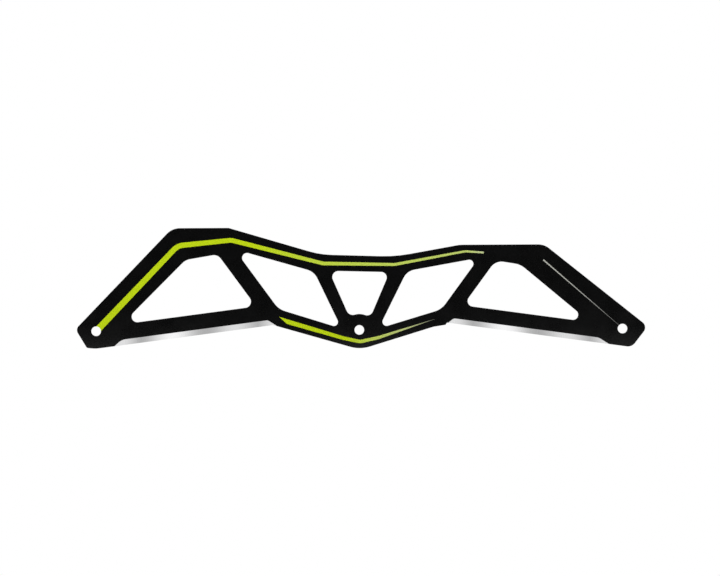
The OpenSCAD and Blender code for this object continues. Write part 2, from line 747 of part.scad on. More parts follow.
// The boot bolt's slot and the recess for its head
module boot_bolt_space(x, seat_z, deck_t) {
    z_from = seat_z - deck_t - over;
    recess_l = slot_l + bolt_recess_w - slot_w;
    slot_space(x, slot_w, slot_l, z_from, seat_z + over);
    slot_space(x, bolt_recess_w, recess_l, z_from, seat_z - slot_floor);
}

// Holes through a deck for its screws and into it for its dowels
module deck_holes(screws, dowels) {
    for (p = screws)
        cross_bar(p, shank_hole_d, pad_y - over, inner_y + over);
    for (p = dowels) {
        cross_bar(p, dowel_hole_d, pad_y - over, pad_y + dowel_in_deck + dowel_gap);
        cross_bar(p, dowel_hole_d, inner_y - dowel_in_deck - dowel_gap, inner_y + over);
    }
}

module right_side_plate() {
    color("#141414")
        difference() {
            union() {
                truss(-outer_y, -inner_y);
                rear_deck_block(-inner_y - over, pad_y);
                front_deck_block(-inner_y - over, pad_y);
                for (p = [rear_tie, front_tie])
                    cross_bar(p, tie_d, -inner_y - over, pad_y);
            }
            bevels();
            for (x = [rear_axle_x, 0, front_axle_x]) {
                cross_bar([x, 0], axle_thread_d, -outer_y - over, -inner_y + over);
                cross_bar([x, 0], insert_d + 2 * seat_gap, -inner_y - insert_depth, -inner_y + over);
            }
            for (p = all_screws)
                cross_bar(p, thread_hole_d, pad_y - thread_depth, pad_y + over);
            for (p = all_dowels)
                cross_bar(p, dowel_hole_d, pad_y - dowel_in_plate - dowel_gap, pad_y + over);
        }
}

module left_side_plate() {
    color("#141414")
        difference() {
            truss(inner_y, outer_y);
            mirror([0, 1, 0])
                bevels();
            for (x = [rear_axle_x, 0, front_axle_x]) {
                cross_bar([x, 0], bush_d + 2 * seat_gap, inner_y - over, outer_y + over);
                cross_bar([x, 0], axle_head_d, outer_y - axle_head_depth, outer_y + over);
            }
            for (p = all_screws) {
                cross_bar(p, shank_hole_d, inner_y - over, outer_y + over);
                cross_cone(p, shank_hole_d, head_hole_d, outer_y - screw_head_h, outer_y);
            }
            for (p = all_dowels)
                cross_bar(p, dowel_hole_d, inner_y - over, inner_y + dowel_in_plate + dowel_gap);
        }
}

module rear_boot_deck() {
    color("#1c1c1c")
        difference() {
            rear_deck_block(pad_y, inner_y);
            boot_bolt_space(rear_bolt_x, rear_seat_z, rear_deck_t);
            deck_holes(rear_screws, rear_dowels);
        }
}

module front_boot_deck() {
    color("#1c1c1c")
        difference() {
            front_deck_block(pad_y, inner_y);
            boot_bolt_space(front_bolt_x, front_seat_z, front_deck_t);
            deck_holes(front_screws, front_dowels);
        }
}

module tie_tube(p) {
    color("#242424")
        difference() {
            cross_bar(p, tie_d, pad_y, inner_y);
            cross_bar(p, shank_hole_d, pad_y - over, inner_y + over);
        }
}

// Countersunk screws, put in from the left
module cross_screws(points) {
    color("#8f9296")
        for (p = points)
            difference() {
                union() {
                    cross_bar(p, screw_d, outer_y - screw_l, outer_y - screw_head_h);
                    cross_cone(p, screw_d, screw_head_d, outer_y - screw_head_h, outer_y);
                }
                translate([p[0], outer_y - screw_key_depth, p[1]])
                    rotate([-90, 0, 0])
                        cylinder(h = screw_key_depth + over, d = screw_key / cos(30), $fn = 6);
            }
}

// A dowel with chamfered ends
module dowel(p, y_from) {
    y_to = y_from + dowel_l;
    narrow_d = dowel_d - 2 * dowel_chamfer;
    cross_cone(p, narrow_d, dowel_d, y_from, y_from + dowel_chamfer);
    cross_bar(p, dowel_d, y_from + dowel_chamfer, y_to - dowel_chamfer);
    cross_cone(p, dowel_d, narrow_d, y_to - dowel_chamfer, y_to);
}

module deck_dowels(points) {
    color("#b5b8bb")
        for (p = points) {
            dowel(p, pad_y - dowel_in_plate);
            dowel(p, inner_y - dowel_in_deck);
        }
}

// A threaded seat in the right plate
module axle_insert(x) {
    color("#9a9da1")
        difference() {
            union() {
                cross_bar([x, 0], insert_d, -inner_y - insert_depth, -inner_y);
                cross_bar([x, 0], seat_flange_d, -inner_y, -inner_y + seat_h);
            }
            cross_bar([x, 0], axle_thread_d, -outer_y, 0);
        }
}

// A plain seat in the left plate
module axle_bush(x) {
    color("#9a9da1")
        difference() {
            union() {
                cross_bar([x, 0], bush_d, inner_y, outer_y - axle_head_depth);
                cross_bar([x, 0], seat_flange_d, inner_y - seat_h, inner_y);
            }
            cross_bar([x, 0], axle_shank_d, 0, outer_y);
        }
}

// A stripe on the right plate, clear of the axle holes
module right_stripe(shape) {
    color("#c5d92c")
        difference() {
            slab(-outer_y - film_t, -outer_y)
                polygon(shape);
            for (x = [rear_axle_x, front_axle_x])
                cross_bar([x, 0], axle_thread_d, -outer_y - over, -outer_y + over);
        }
}

// A stripe on the left plate, clear of the axle heads and the screws
module left_stripe(shape) {
    color("#c5d92c")
        difference() {
            slab(outer_y, outer_y + film_t)
                polygon(shape);
            for (x = [rear_axle_x, front_axle_x])
                cross_bar([x, 0], axle_head_d, outer_y - over, outer_y + over);
            for (p = all_screws)
                cross_bar(p, head_hole_d, outer_y - over, outer_y + over);
        }
}

upper_stripe = ribbon(upper_route, even_widths(upper_route, upper_stripe_w), stripe_bend_r);
keel_stripe = ribbon(keel_route, keel_stripe_w, keel_stripe_bend_r, keel_stripe_slant);
toe_stripe = ribbon(toe_route, toe_stripe_w, stripe_bend_r);

right_side_plate();
left_side_plate();
rear_boot_deck();
front_boot_deck();
tie_tube(rear_tie);  // rear_tie_tube
tie_tube(front_tie);  // front_tie_tube
cross_screws(rear_screws);  // rear_deck_screws
cross_screws(front_screws);  // front_deck_screws
cross_screws([rear_tie]);  // rear_tie_screw
cross_screws([front_tie]);  // front_tie_screw
deck_dowels(rear_dowels);  // rear_deck_dowels
deck_dowels(front_dowels);  // front_deck_dowels
axle_insert(rear_axle_x);  // rear_axle_insert
axle_insert(0);  // middle_axle_insert
axle_insert(front_axle_x);  // front_axle_insert
axle_bush(rear_axle_x);  // rear_axle_bush
axle_bush(0);  // middle_axle_bush
axle_bush(front_axle_x);  // front_axle_bush
right_stripe(upper_stripe);  // right_upper_stripe
right_stripe(keel_stripe);  // right_keel_stripe
right_stripe(toe_stripe);  // right_toe_stripe
left_stripe(upper_stripe);  // left_upper_stripe
left_stripe(keel_stripe);  // left_keel_stripe
left_stripe(toe_stripe);  // left_toe_stripe
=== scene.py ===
"""Looks of a three-wheel inline skate frame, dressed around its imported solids.

Lengths are in metres. X points to the toe, Y to the left plate and Z up, and the origin is the
middle axle's centre.
"""

import math

import bmesh
import bpy
from bpy.props import FloatProperty, FloatVectorProperty, IntProperty, PointerProperty
from mathutils import Matrix, Vector


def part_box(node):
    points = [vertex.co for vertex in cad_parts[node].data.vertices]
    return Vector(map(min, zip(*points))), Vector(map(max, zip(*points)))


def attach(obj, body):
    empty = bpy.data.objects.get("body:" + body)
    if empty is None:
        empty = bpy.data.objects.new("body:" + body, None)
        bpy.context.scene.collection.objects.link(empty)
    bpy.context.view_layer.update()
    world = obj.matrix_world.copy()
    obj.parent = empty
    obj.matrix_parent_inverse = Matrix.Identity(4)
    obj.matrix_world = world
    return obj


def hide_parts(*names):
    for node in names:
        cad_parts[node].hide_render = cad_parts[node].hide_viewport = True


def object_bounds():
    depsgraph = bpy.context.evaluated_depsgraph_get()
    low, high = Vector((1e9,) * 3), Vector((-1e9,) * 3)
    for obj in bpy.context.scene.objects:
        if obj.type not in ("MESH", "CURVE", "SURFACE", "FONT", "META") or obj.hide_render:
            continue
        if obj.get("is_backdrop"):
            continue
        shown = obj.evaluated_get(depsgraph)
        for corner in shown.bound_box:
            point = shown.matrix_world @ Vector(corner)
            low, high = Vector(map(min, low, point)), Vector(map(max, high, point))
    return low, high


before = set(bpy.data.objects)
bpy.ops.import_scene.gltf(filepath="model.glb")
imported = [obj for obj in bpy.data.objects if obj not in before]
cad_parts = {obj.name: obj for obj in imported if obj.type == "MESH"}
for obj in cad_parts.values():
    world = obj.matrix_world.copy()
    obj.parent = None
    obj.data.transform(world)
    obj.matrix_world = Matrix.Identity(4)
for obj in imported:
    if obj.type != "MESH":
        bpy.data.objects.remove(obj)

bl_info = {
    "name": "Inline Skate Frame",
    "version": (1, 0, 0),
    "blender": (4, 5, 0),
    "location": "View3D > Sidebar > Skate Frame",
    "description": "Soft edges, threads and finishes for the solids of an inline skate frame",
    "category": "Object",
}

BODY = "root"
SIDES = ("right", "left")
ENDS = ("rear", "front")
AXLES = ("rear", "middle", "front")
SCREWS = ("deck_screws", "tie_screw")

# Points that lie closer together are one point
WELD = 2e-6
# The same for points that lie equally far across the frame
LEVEL_WELD = 1e-4
# Faces that differ by less are one flat face
FLAT_ANGLE = math.radians(0.3)
# Outer corners between these angles are rounded
CORNER_ANGLES = (math.radians(60), math.radians(130))
# Sharper corners are crisp when shaded
CRISP_ANGLE = math.radians(32)
# The same for corners inside a rounded edge
STRIP_ANGLE = math.radians(70)
# Share of a bevel's normal that points across the frame
BEVEL_LEAN = (0.3, 0.95)
# Leaning faces within this many head diameters of a screw belong to its countersink
COUNTERSINK_REACH = 0.75

# Half widths of a thread's ridge at its root and its crest, in pitches
RIDGE_ROOT = 0.44
RIDGE_CREST = 0.08

# A screw's shank and the height of its head, in radii of the head
SHANK_SHARE = 4.0 / 7.4
HEAD_SHARE = 2.0 / 3.7
# A screw's narrow end, in radii of its thread's root, and the end's length
TIP_SHARE = 0.8
TIP_LENGTH = 0.0003
# Mouth of a screw's socket and the point at its bottom, in key sizes, and the depth of each
MOUTH_SHARE = 0.66
MOUTH_DEPTH = 0.0002
POINT_SHARE = 0.1
POINT_DEPTH = 0.0004
# Depth of a screw thread's root in the metal
SCREW_SINK = 0.00002
# Turn from one screw to the next, and points around a screw
SCREW_TURN = math.radians(37)
SCREW_STEPS = 48

# Bodies and bores of the axle seats, in radii of the flange, and their depths in the plates
INSERT_SHARE = 10.0 / 13.0
INSERT_BORE = 6.0 / 13.0
INSERT_DEPTH = 0.0024
BUSH_SHARE = 11.0 / 13.0
BUSH_BORE = 8.1 / 13.0
BUSH_DEPTH = 0.003
# Plain length at each end of an axle's thread, in pitches, and depth of its root in the metal
AXLE_LEAD = 0.7
AXLE_SINK = 0.00003
# Points around an axle seat
SEAT_STEPS = 64

WHITE = (1.0, 1.0, 1.0, 1.0)
BLACK = (0.0, 0.0, 0.0, 1.0)
# Grains of the black pieces and lines of the cut metal: repeats in a metre along each axis
BLASTED_GRAIN = (9000.0, 9000.0, 9000.0)
MILLED_GRAIN = (2600.0, 120.0, 2600.0)
DRAWN_GRAIN = (2600.0, 90.0, 2600.0)
CUTTER_LINES = (5200.0, 260.0, 260.0)
# Roughness of each steel and the width of its tool rings
PLATED_STEEL = (0.34, 0.00016)
GROUND_STEEL = (0.28, 0.00012)
TURNED_STEEL = (0.30, 0.00022)
# How far the rings wander, in radians, and how far they take the roughness down and up
RING_WANDER = 4.0
RING_SHEEN = (-0.05, 0.06)
# Painted sheen on the bare bevels, a wave of reflections painted into their colour: a crest behind
# the middle axle, the step to its twin ahead, and the wave's size
PAINTED_SHEEN_CREST = -0.1172
PAINTED_SHEEN_STEP = 0.2083
PAINTED_SHEEN_LENGTH = 0.078
PAINTED_SHEEN_LEVEL = 0.665
PAINTED_SHEEN_QUICK = 0.205
PAINTED_SHEEN_SLOW = 0.105
# Painted highlight at the bevels' ends, and where it comes in before and after the crest
PAINTED_END_SHEEN = 0.79
PAINTED_SHEEN_BEFORE = (-0.031, -0.020)
PAINTED_SHEEN_AFTER = (0.0535, 0.063)
# Each kind of stripe: where along the frame it has which colour
FADES = {
    "upper": ((-0.065, "lime"), (0.068, "soft_lime"), (0.082, "pale")),
    "keel": ((-0.008, "lime"), (0.027, "keel_lime"), (0.047, "keel_tip")),
    "toe": ((0.114, "toe_top"), (0.142, "toe_middle"), (0.162, "toe_tip")),
}

# Half of the floor's width, and the gap between the frame and the floor
FLOOR_HALF = 3.0
FLOOR_GAP = 0.0001
# Where the bright floor has faded in reflections, in half widths of the bright part
TABLE_FADE = 2.6
# Directions, as rises, between which the mirrored surroundings brighten
SKY_RISE = (0.1, 0.9)
# Place and diameter of each lamp, and the point that all of them face
LAMPS = {
    "key": ((-0.75, -1.15, 1.25), 1.2),
    "fill": ((0.95, -1.05, 0.75), 1.4),
    "back": ((0.35, 1.30, 1.10), 1.4),
}
LAMP_TARGET = Vector((0.0, 0.0, 0.02))
# Distance of the camera from the frame, and the distances that it sees
VIEW_DISTANCE = 1.5
VIEW_CLIP = (0.01, 20.0)


# Settings


def colour(name, about, default):
    """A colour that a user may change."""
    return FloatVectorProperty(
        name=name, description=about, default=default, subtype="COLOR", size=3, min=0.0, max=1.0
    )


def length(name, about, default):
    """A length that a user may change."""
    return FloatProperty(name=name, description=about, default=default, unit="LENGTH", precision=5)


def share(name, about, default):
    """A share from 0 to 1 that a user may change."""
    return FloatProperty(
        name=name, description=about, default=default, subtype="FACTOR", min=0.0, max=1.0
    )


def power(name, about, default):
    """A lamp's power that a user may change."""
    return FloatProperty(name=name, description=about, default=default, min=0.0, unit="POWER")


class FinishSettings(bpy.types.PropertyGroup):
    """Colours of the frame's finishes."""

    plate_black: colour(
        "Plate black", "Anodised black of the side plates", (0.0012, 0.0012, 0.0013)
    )
    deck_black: colour(
        "Deck black", "Anodised black of the boot decks and ties", (0.0040, 0.0040, 0.0043)
    )
    worn_edge: colour("Worn edge", "Metal that shows at rubbed edges", (0.030, 0.030, 0.031))
    bare_metal: colour("Bare metal", "Freshly cut metal of the lower bevels", (0.98, 0.98, 0.985))
    seat_steel: colour("Seat steel", "Turned steel of the axle seats", (0.46, 0.46, 0.47))
    screw_steel: colour("Screw steel", "Dark plated steel of the screws", (0.16, 0.16, 0.168))
    dowel_steel: colour("Dowel steel", "Ground steel of the dowels", (0.55, 0.55, 0.56))
    lime: colour("Lime", "Stripe colour towards the heel", (0.42, 0.542, 0.0045))
    soft_lime: colour(
        "Soft lime", "Upper stripe's colour under the front seat", (0.415, 0.50, 0.125)
    )
    pale: colour("Pale", "Upper stripe's colour at its front end", (0.405, 0.445, 0.27))
    keel_lime: colour(
        "Keel lime", "Keel stripe's colour ahead of its bend", (0.418, 0.475, 0.168)
    )
    keel_tip: colour("Keel tip", "Keel stripe's colour at its front end", (0.165, 0.167, 0.145))
    toe_top: colour("Toe top", "Toe stripe's colour at its upper end", (0.39, 0.395, 0.35))
    toe_middle: colour("Toe middle", "Toe stripe's colour half way down", (0.305, 0.305, 0.285))
    toe_tip: colour("Toe tip", "Toe stripe's colour at the axle", (0.115, 0.115, 0.11))


class EdgeSettings(bpy.types.PropertyGroup):
    """Rounding of the edges."""

    plate: length("Plate edge", "Rounding of the side plates' edges", 0.0002)
    deck: length("Deck edge", "Rounding of the boot decks' edges", 0.0004)
    tie: length("Tie edge", "Rounding of the tie tubes' ends", 0.0003)
    seat: length("Seat edge", "Chamfer on the axle seats' edges", 0.0003)
    head: length("Head edge", "Chamfer around a screw's head", 0.00012)
    steps: IntProperty(
        name="Steps", description="Faces across a rounded edge", default=2, min=1, max=6
    )


class ThreadSettings(bpy.types.PropertyGroup):
    """Threads of the screws and of the axle seats."""

    screw_pitch: length("Screw pitch", "Rise of a screw's thread in one turn", 0.0007)
    screw_depth: length("Screw thread depth", "Height of a screw's thread", 0.00043)
    screw_run: length("Screw thread length", "Threaded length of a screw", 0.012)
    key: length("Key size", "Hexagon key across its flats", 0.0025)
    key_depth: length("Key depth", "Depth of the hexagon socket", 0.0016)
    axle_pitch: length("Axle pitch", "Rise of an axle's thread in one turn", 0.001)
    axle_depth: length("Axle thread depth", "Height of an axle's thread", 0.0005)


class StageSettings(bpy.types.PropertyGroup):
    """Floor, light and camera."""

    floor: colour("Floor", "Colour of the floor", (0.98, 0.98, 0.98))
    floor_glow: share("Floor glow", "Share of plain white in the floor that the camera sees", 0.6)
    table: length(
        "Light table", "Half width of the floor that shows bright in reflections", 0.045
    )
    sky: share("Sky", "Strength of the even light from all round", 0.5)
    sky_side: share(
        "Mirrored side", "Brightness of the surroundings in reflections, at the horizon", 0.03
    )
    sky_top: share(
        "Mirrored top", "Brightness of the surroundings in reflections, overhead", 0.7
    )
    key_power: power("Key", "Main lamp", 14.0)
    fill_power: power("Fill", "Lamp on the other side", 9.0)
    back_power: power("Back", "Lamp behind the frame", 9.0)
    view_width: length("View width", "Width of the picture at the frame", 0.4517)
    view_x: length("View centre X", "Middle of the picture along the frame", 0.00056)
    view_z: length("View centre Z", "Middle of the picture over the axles", 0.02628)
    view_tilt: FloatProperty(
        name="Tilt", description="Turn of the frame in the picture", default=math.radians(0.293),
        subtype="ANGLE",
    )


# Meshes


def shells(bm):
    """The points of each separate shell of a mesh."""
    seen = set()
    for start in bm.verts:
        if start in seen:
            continue
        seen.add(start)
        shell = [start]
        for vert in shell:
            for edge in vert.link_edges:
                other = edge.other_vert(vert)
                if other not in seen:
                    seen.add(other)
                    shell.append(other)
        yield shell


def face_outwards(bm):
    """Turns the faces of every shell to its outside, where its volume counts as positive."""
    bmesh.ops.recalc_face_normals(bm, faces=bm.faces)
    for shell in list(shells(bm)):
        faces = list(dict.fromkeys(face for vert in shell for face in vert.link_faces))
        volumes = (face.calc_center_median().dot(face.normal) * face.calc_area() for face in faces)
        if sum(volumes) < 0.0:
            bmesh.ops.reverse_faces(bm, faces=faces)


def mark_crisp_edges(bm, rounded):
    """Makes a mesh smooth apart from its crisp edges.

    A rounded corner, known by its material, runs smoothly into the faces of the first material,
    and other materials meet at crisp edges.
    """
    for face in bm.faces:
        face.smooth = True
    for edge in bm.edges:
        kinds = {face.material_index for face in edge.link_faces}
        joined = len(kinds) == 1 or kinds == {0, rounded}
        mitre = any(
            sum(face.material_index != rounded for face in vert.link_faces) > 1
            for vert in edge.verts
        )
        limit = STRIP_ANGLE if kinds == {rounded} and not mitre else CRISP_ANGLE
        edge.smooth = joined and edge.calc_face_angle(0.0) < limit


def new_piece(name, bm, materials, location=(0.0, 0.0, 0.0), rounded=None):
    """An object from a mesh under construction that rides on the frame."""
    face_outwards(bm)
    mark_crisp_edges(bm, rounded)
    mesh = bpy.data.meshes.new(name)
    bm.to_mesh(mesh)
    bm.free()
    if "custom_normal" in mesh.attributes:
        mesh.attributes.remove(mesh.attributes["custom_normal"])
    for material in materials:
        mesh.materials.append(material)
    piece = bpy.data.objects.new(name, mesh)
    piece.location = location
    bpy.context.scene.collection.objects.link(piece)
    flats = piece.modifiers.new("Flat faces", "WEIGHTED_NORMAL")
    flats.keep_sharp = True
    flats.use_face_influence = True
    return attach(piece, BODY)


def welded(node):
    """A CAD node's mesh with its points joined and its flat faces whole."""
    bm = bmesh.new()
    bm.from_mesh(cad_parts[node].data)
    bmesh.ops.remove_doubles(bm, verts=bm.verts, dist=WELD)
    levels = {}
    for vert in bm.verts:
        levels.setdefault(round(vert.co.y / WELD), []).append(vert)
    for verts in levels.values():
        bmesh.ops.remove_doubles(bm, verts=verts, dist=LEVEL_WELD)
    bmesh.ops.dissolve_degenerate(bm, edges=bm.edges, dist=WELD)
    bmesh.ops.dissolve_limit(bm, angle_limit=FLAT_ANGLE, verts=bm.verts, edges=bm.edges)
    return bm


def round_corners(bm, width, steps, edge_material):
    """Rounds the outer corners between faces of the first material.

    The new faces get a material of their own.
    """
    low, high = CORNER_ANGLES
    corners = [
        edge for edge in bm.edges
        if low < edge.calc_face_angle_signed(0.0) < high
        and not any(face.material_index for face in edge.link_faces)
    ]
    bmesh.ops.bevel(
        bm, geom=corners, offset=width, offset_type="OFFSET", segments=steps, profile=0.5,
        affect="EDGES", clamp_overlap=False, material=edge_material, face_strength_mode="ALL",
    )
    bmesh.ops.remove_doubles(bm, verts=bm.verts, dist=WELD)
    bmesh.ops.dissolve_degenerate(bm, edges=bm.edges, dist=WELD)


def rounded_piece(name, node, materials, width, steps):
    """A piece like a CAD node, with its corners rounded in the last of its materials."""
    bm = welded(node)
    last = len(materials) - 1
    round_corners(bm, width, steps, last)
    return new_piece(name, bm, materials, rounded=last)


def solid_boxes(node):
    """The lowest and highest corners of each separate solid of a CAD node, from heel to toe."""
    bm = welded(node)
    boxes = []
    for shell in shells(bm):
        places = [vert.co for vert in shell]
        low = Vector([min(p[i] for p in places) for i in range(3)])
        high = Vector([max(p[i] for p in places) for i in range(3)])
        boxes.append((low, high))
    bm.free()
    return sorted(boxes, key=lambda box: box[0].x)


def screw_boxes():
    """Each cross screw's node with the screw's lowest and highest corners."""
    nodes = [f"{end}_{kind}" for end in ENDS for kind in SCREWS]
    return [(node, low, high) for node in nodes for low, high in solid_boxes(node)]


def ring(bm, radius, y, steps):
    """Points around the Y axis. The radius is a number or a function of the angle."""
    points = []
    for k in range(steps):
        angle = math.tau * k / steps
        r = radius(angle) if callable(radius) else radius
        points.append(bm.verts.new((r * math.cos(angle), y, r * math.sin(angle))))
    return points


def skin(bm, rings, closed):
    """Faces between rings of points.

    A closed skin joins the last ring to the first, and an open one is capped.
    """
    count = len(rings[0])
    following = rings[1:] + rings[:1] if closed else rings[1:]
    for near, far in zip(rings, following):
        for k in range(count):
            m = (k + 1) % count
            bm.faces.new((near[k], near[m], far[m], far[k]))
    if not closed:
        bm.faces.new(rings[0])
        bm.faces.new(rings[-1])


def turned(bm, profile, steps, closed):
    """A turned shape around the Y axis from (radius, y) points."""
    skin(bm, [ring(bm, radius, y, steps) for radius, y in profile], closed)


def thread(bm, root, crest, pitch, start, run, steps):
    """A thread's ridge around the Y axis, from its root radius to its crest, fading at its ends."""
    root_half, crest_half = RIDGE_ROOT * pitch, RIDGE_CREST * pitch
    total = round(run / pitch * steps)
    fade = steps / 2 + 1
    sections = []
    for k in range(total + 1):
        angle = math.tau * k / steps
        y = start + pitch * k / steps
        tip = root + (crest - root) * min(1.0, (k + 1) / fade, (total - k + 1) / fade)
        profile = (
            (root, y - root_half),
            (tip, y - crest_half),
            (tip, y + crest_half),
            (root, y + root_half),
        )
        sections.append([
            bm.verts.new((r * math.cos(angle), h, r * math.sin(angle))) for r, h in profile
        ])
    skin(bm, sections, closed=False)


def hexagon(flats):
    """The radius of a hexagon at an angle, from its size across the flats."""
    sixth = math.tau / 6
    return lambda angle: flats / 2 / math.cos((angle + sixth / 2) % sixth - sixth / 2)


# Materials


def add(tree, kind, inputs=None, **settings):
    """A node with its settings, and its inputs set to values or linked to sockets."""
    node = tree.nodes.new(kind)
    for key, value in settings.items():
        setattr(node, key, value)
    for key, value in (inputs or {}).items():
        if isinstance(value, bpy.types.NodeSocket):
            tree.links.new(value, node.inputs[key])
        else:
            node.inputs[key].default_value = value
    return node


def new_finish(name, **sockets):
    """A material with one shader, as (material, node tree, shader, object coordinates)."""
    material = bpy.data.materials.new(name)
    material.use_nodes = True
    tree = material.node_tree
    tree.nodes.clear()
    shader = add(tree, "ShaderNodeBsdfPrincipled")
    for key, value in sockets.items():
        shader.inputs[key.replace("_", " ")].default_value = value
    add(tree, "ShaderNodeOutputMaterial", {"Surface": shader.outputs["BSDF"]})
    place = add(tree, "ShaderNodeTexCoord").outputs["Object"]
    return material, tree, shader, place


def connect(tree, shader, tint, roughness, normal):
    """Links a finish's colour, roughness and bump to its shader."""
    tree.links.new(tint, shader.inputs["Base Color"])
    tree.links.new(roughness, shader.inputs["Roughness"])
    tree.links.new(normal, shader.inputs["Normal"])


def math_of(tree, operation, *values):
    """The result of a sum on numbers or sockets."""
    return add(tree, "ShaderNodeMath", dict(enumerate(values)), operation=operation).outputs[0]


def axis_of(tree, vector, axis):
    """One axis of a vector."""
    return add(tree, "ShaderNodeSeparateXYZ", {"Vector": vector}).outputs[axis]


def noise(tree, place, scale, detail=3.0, roughness=0.55):
    """The value of a noise texture."""
    inputs = {"Vector": place, "Scale": scale, "Detail": detail, "Roughness": roughness}
    return add(tree, "ShaderNodeTexNoise", inputs).outputs["Fac"]


def stretched(tree, place, scale):
    """Coordinates stretched by a scale along each axis."""
    return add(tree, "ShaderNodeVectorMath", {0: place, 1: scale}, operation="MULTIPLY").outputs[0]


def spread(tree, value, low, high, from_low=0.3, from_high=0.7):
    """A texture's value brought to a range."""
    inputs = {
        "Value": value, "From Min": from_low, "From Max": from_high, "To Min": low, "To Max": high
    }
    return add(tree, "ShaderNodeMapRange", inputs).outputs["Result"]


def blend(tree, factor, first, second):
    """A colour between two, by the colour sockets of a mix node."""
    return add(tree, "ShaderNodeMix", {0: factor, 6: first, 7: second}, data_type="RGBA").outputs[2]


def mixed(tree, factor, first, second):
    """A shader between two."""
    return add(tree, "ShaderNodeMixShader", {0: factor, 1: first, 2: second}).outputs[0]


def bump(tree, height, distance, strength):
    """A normal that follows a height."""
    inputs = {"Height": height, "Distance": distance, "Strength": strength}
    return add(tree, "ShaderNodeBump", inputs).outputs["Normal"]


def rgba(value, factor=1.0):
    """A colour made darker or lighter, with its alpha."""
    return (*[min(1.0, c * factor) for c in value], 1.0)


def black_finish(name, base, grain_scale):
    """Anodised black: fine blasted grain, faint clouds in its sheen."""
    material, tree, shader, place = new_finish(name, Specular_IOR_Level=0.3)
    tone = noise(tree, place, scale=700.0)
    clouds = noise(tree, place, scale=90.0, detail=5.0)
    grain = noise(tree, stretched(tree, place, grain_scale), scale=1.0, detail=2.0)
    connect(
        tree, shader,
        tint=blend(tree, tone, rgba(base, 0.7), rgba(base, 1.3)),
        roughness=spread(tree, clouds, low=0.25, high=0.32),
        normal=bump(tree, grain, distance=0.000008, strength=0.5),
    )
    return material


def edge_finish(name, base, worn):
    """Rounded edges of the black pieces, rubbed through in small spots."""
    material, tree, shader, place = new_finish(name, Specular_IOR_Level=0.2)
    wear = noise(tree, place, scale=260.0, detail=6.0, roughness=0.7)
    rubbed = spread(tree, wear, low=0.0, high=1.0, from_low=0.56, from_high=0.72)
    grain = noise(tree, place, scale=4200.0, detail=2.0)
    connect(
        tree, shader,
        tint=blend(tree, rubbed, rgba(base, 1.6), rgba(worn)),
        roughness=spread(tree, rubbed, low=0.50, high=0.36, from_low=0.0, from_high=1.0),
        normal=bump(tree, grain, distance=0.00001, strength=0.5),
    )
    return material


def bare_finish(name, base):
    """Cut metal with painted sheen bands along the rail, painted bright ends and fine cutter lines
    across it.
    """
    material, tree, shader, place = new_finish(name, Metallic=1.0)
    # Painted reflections: a sheen wave along X and brighter ends, laid into the base colour
    x = axis_of(tree, place, "X")
    ahead = math_of(tree, "GREATER_THAN", x, 0.0)
    crest = math_of(tree, "MULTIPLY_ADD", ahead, PAINTED_SHEEN_STEP, PAINTED_SHEEN_CREST)
    along = math_of(tree, "SUBTRACT", x, crest)
    turn = math_of(tree, "MULTIPLY", along, math.tau / PAINTED_SHEEN_LENGTH)
    slow = math_of(tree, "COSINE", turn)
    quick = math_of(tree, "COSINE", math_of(tree, "MULTIPLY", turn, 2.0))
    level = math_of(tree, "MULTIPLY_ADD", quick, PAINTED_SHEEN_QUICK, PAINTED_SHEEN_LEVEL)
    painted_sheen = math_of(tree, "MULTIPLY_ADD", slow, PAINTED_SHEEN_SLOW, level)
    # Painted highlight that comes in towards the bevels' ends
    before = spread(tree, along, 1.0, 0.0, *PAINTED_SHEEN_BEFORE)
    after = spread(tree, along, 0.0, 1.0, *PAINTED_SHEEN_AFTER)
    ends = math_of(tree, "MAXIMUM", before, after)
    to_end = math_of(tree, "SUBTRACT", PAINTED_END_SHEEN, painted_sheen)
    tone = math_of(tree, "MULTIPLY_ADD", to_end, ends, painted_sheen)
    lines = noise(tree, stretched(tree, place, CUTTER_LINES), scale=1.0, detail=2.0)
    streaked = math_of(tree, "MULTIPLY", tone, spread(tree, lines, low=0.97, high=1.03))
    connect(
        tree, shader,
        tint=blend(tree, streaked, BLACK, rgba(base)),
        roughness=spread(tree, lines, low=0.26, high=0.36),
        normal=bump(tree, lines, distance=0.000006, strength=0.4),
    )
    return material


def turned_finish(name, base, roughness, ring_width):
    """Turned steel with fine rings around the piece's own axis."""
    material, tree, shader, place = new_finish(name, Metallic=1.0)
    across = stretched(tree, place, (1.0, 0.0, 1.0))
    radius = add(tree, "ShaderNodeVectorMath", {0: across}, operation="LENGTH").outputs["Value"]
    travel = math_of(tree, "ADD", radius, axis_of(tree, place, "Y"))
    turn = math_of(tree, "MULTIPLY", travel, math.tau / ring_width)
    uneven = noise(tree, place, scale=1500.0)
    rings = math_of(tree, "SINE", math_of(tree, "MULTIPLY_ADD", uneven, RING_WANDER, turn))
    smooth, rough = [roughness + change for change in RING_SHEEN]
    connect(
        tree, shader,
        tint=blend(tree, uneven, rgba(base, 0.82), rgba(base, 1.12)),
        roughness=spread(tree, rings, smooth, rough, from_low=-1.0, from_high=1.0),
        normal=bump(tree, rings, distance=0.000004, strength=0.5),
    )
    return material


